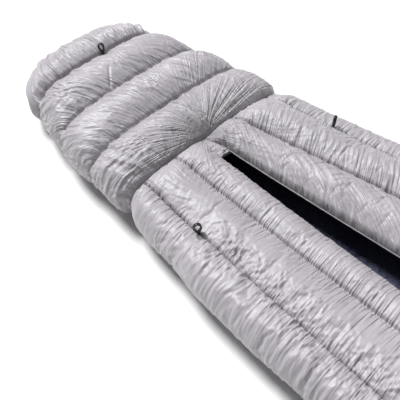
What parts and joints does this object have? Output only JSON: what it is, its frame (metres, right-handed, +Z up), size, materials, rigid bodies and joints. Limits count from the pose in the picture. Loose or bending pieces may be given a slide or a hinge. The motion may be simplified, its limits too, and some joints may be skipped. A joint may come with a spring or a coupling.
{
  "type": "camp quilt",
  "caption": "Down camp quilt with baffled chambers, a closed footbox, a slit open back with fold-out lapels and black webbing loops along the sides and toe.",
  "frame": {"origin": "under the middle of the quilt, on the ground plane", "axes": "+Y towards the toes, +X across, +Z up; the slit back faces +Z and the head end is at -Y"},
  "size_m": [0.6964, 1.9797, 0.18],
  "materials": {
    "shell_nylon": "satin",
    "lining_nylon": "satin",
    "down_fill": "matte",
    "baffle_net": "matte",
    "webbing": "gloss",
    "snap_plastic": "gloss"
  },
  "bodies": {
    "quilt_base": {"body_lining": "lining_nylon", "footbox_baffle_1": "baffle_net", "footbox_baffle_2": "baffle_net", "footbox_down_1": "down_fill", "footbox_down_2": "down_fill", "footbox_down_3": "down_fill", "footbox_lining": "lining_nylon", "footbox_shell": "shell_nylon", "front_left_down": "down_fill", "front_middle_down": "down_fill", "front_right_down": "down_fill", "front_shell": "shell_nylon", "head_hem": "shell_nylon", "left_flap_baffle": "baffle_net", "left_flap_inner_down": "down_fill", "left_flap_lining": "lining_nylon", "left_flap_outer_down": "down_fill", "left_flap_shell": "shell_nylon", "left_front_baffle": "baffle_net", "left_outer_baffle": "baffle_net", "left_side_baffle": "baffle_net", "left_side_down": "down_fill", "left_side_shell": "shell_nylon", "right_flap_baffle": "baffle_net", "right_flap_inner_down": "down_fill", "right_flap_lining": "lining_nylon", "right_flap_outer_down": "down_fill", "right_flap_shell": "shell_nylon", "right_front_baffle": "baffle_net", "right_outer_baffle": "baffle_net", "right_side_baffle": "baffle_net", "right_side_down": "down_fill", "right_side_shell": "shell_nylon", "slit_gusset": "shell_nylon", "toe_down": "down_fill", "toe_lining": "lining_nylon", "toe_shell": "shell_nylon"},
    "left_lapel_body": {"left_binding": "shell_nylon", "left_lapel_baffle": "baffle_net", "left_lapel_hem": "shell_nylon", "left_lapel_inner_down": "down_fill", "left_lapel_lining": "lining_nylon", "left_lapel_outer_down": "down_fill", "left_lapel_shell": "shell_nylon", "neck_socket": "snap_plastic"},
    "right_lapel_body": {"right_binding": "shell_nylon", "right_lapel_baffle": "baffle_net", "right_lapel_hem": "shell_nylon", "right_lapel_inner_down": "down_fill", "right_lapel_lining": "lining_nylon", "right_lapel_outer_down": "down_fill", "right_lapel_shell": "shell_nylon", "neck_stud": "snap_plastic"},
    "left_hip_loop_body": {"left_hip_loop": "webbing"},
    "left_shoulder_loop_body": {"left_shoulder_loop": "webbing"},
    "right_hip_loop_body": {"right_hip_loop": "webbing"},
    "right_shoulder_loop_body": {"right_shoulder_loop": "webbing"},
    "toe_loop_body": {"toe_loop": "webbing"}
  },
  "joints": [
    {"name": "left_lapel_fold", "type": "hinge", "parent": "quilt_base", "child": "left_lapel_body", "pos_m": [-0.04, 0.39, 0.158], "axis": [-0.1504, -0.9886, -0.01], "range_deg": [0, 150]},
    {"name": "right_lapel_fold", "type": "hinge", "parent": "quilt_base", "child": "right_lapel_body", "pos_m": [0, 0.39, 0.158], "axis": [-0.1783, 0.9839, 0.01], "range_deg": [0, 150]},
    {"name": "left_hip_loop_hinge", "type": "hinge", "parent": "quilt_base", "child": "left_hip_loop_body", "pos_m": [-0.24025, 0.24, 0.12341], "axis": [0, 1, 0], "range_deg": [-40, 40]},
    {"name": "left_shoulder_loop_hinge", "type": "hinge", "parent": "quilt_base", "child": "left_shoulder_loop_body", "pos_m": [-0.29312, -0.54, 0.11783], "axis": [0, 1, 0], "range_deg": [-40, 40]},
    {"name": "right_hip_loop_hinge", "type": "hinge", "parent": "quilt_base", "child": "right_hip_loop_body", "pos_m": [0.24025, 0.24, 0.12341], "axis": [0, 1, 0], "range_deg": [-40, 40]},
    {"name": "right_shoulder_loop_hinge", "type": "hinge", "parent": "quilt_base", "child": "right_shoulder_loop_body", "pos_m": [0.29312, -0.54, 0.11783], "axis": [0, 1, 0], "range_deg": [-40, 40]},
    {"name": "toe_loop_hinge", "type": "hinge", "parent": "quilt_base", "child": "toe_loop_body", "pos_m": [0.02004, 0.86, 0.14968], "axis": [1, 0, 0], "range_deg": [-15, 70]}
  ]
}
